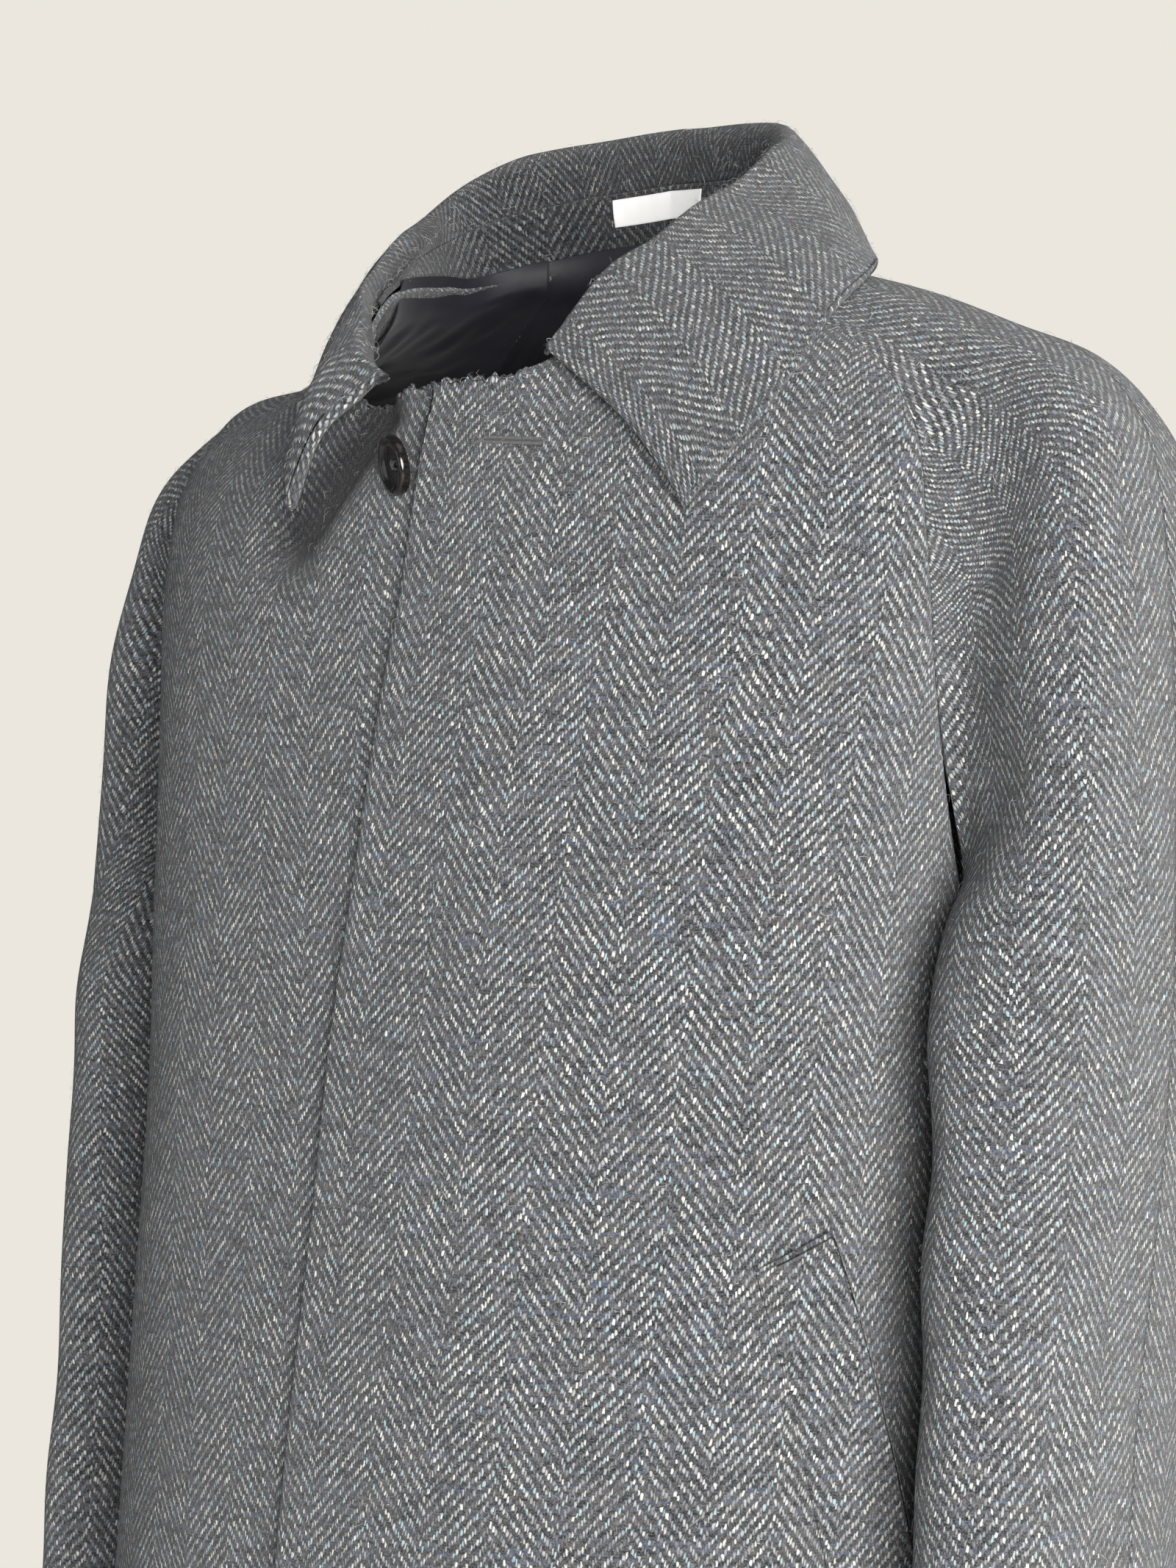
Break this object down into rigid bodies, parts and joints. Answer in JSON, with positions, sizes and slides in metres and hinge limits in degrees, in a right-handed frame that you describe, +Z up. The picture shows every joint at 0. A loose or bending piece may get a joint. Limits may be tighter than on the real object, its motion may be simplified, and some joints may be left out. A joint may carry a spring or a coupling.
{
  "type": "raglan sleeve overcoat",
  "caption": "Straight raglan-sleeve overcoat in herringbone tweed with a turned-down collar, fly front, slanted pocket welts and a horn top button.",
  "frame": {"origin": "between the shoulders, level with the two side neck points, on the line the wearer's shoulders hold the coat up by", "axes": "+X to the wearer's left, -Y out of the coat's front, +Z up"},
  "size_m": [0.552, 0.4082, 1.1154],
  "materials": {
    "tweed": "charcoal and blue-grey herringbone wool tweed",
    "lining": "dark navy satin",
    "label": "white woven tape",
    "horn": "polished dark horn",
    "thread": "dark button thread"
  },
  "bodies": {
    "root": {"front_left": "tweed", "front_right": "tweed", "back": "tweed", "sleeve_left_front": "tweed", "sleeve_left_back": "tweed", "sleeve_right_front": "tweed", "sleeve_right_back": "tweed", "collar_stand": "tweed", "collar_fall": "tweed", "lining_back": "lining", "lining_sleeve_left": "lining", "lining_sleeve_right": "lining", "label": "label", "pocket_welt_left": "tweed", "pocket_welt_right": "tweed", "button": "horn", "button_shank": "thread"}
  },
  "joints": []
}
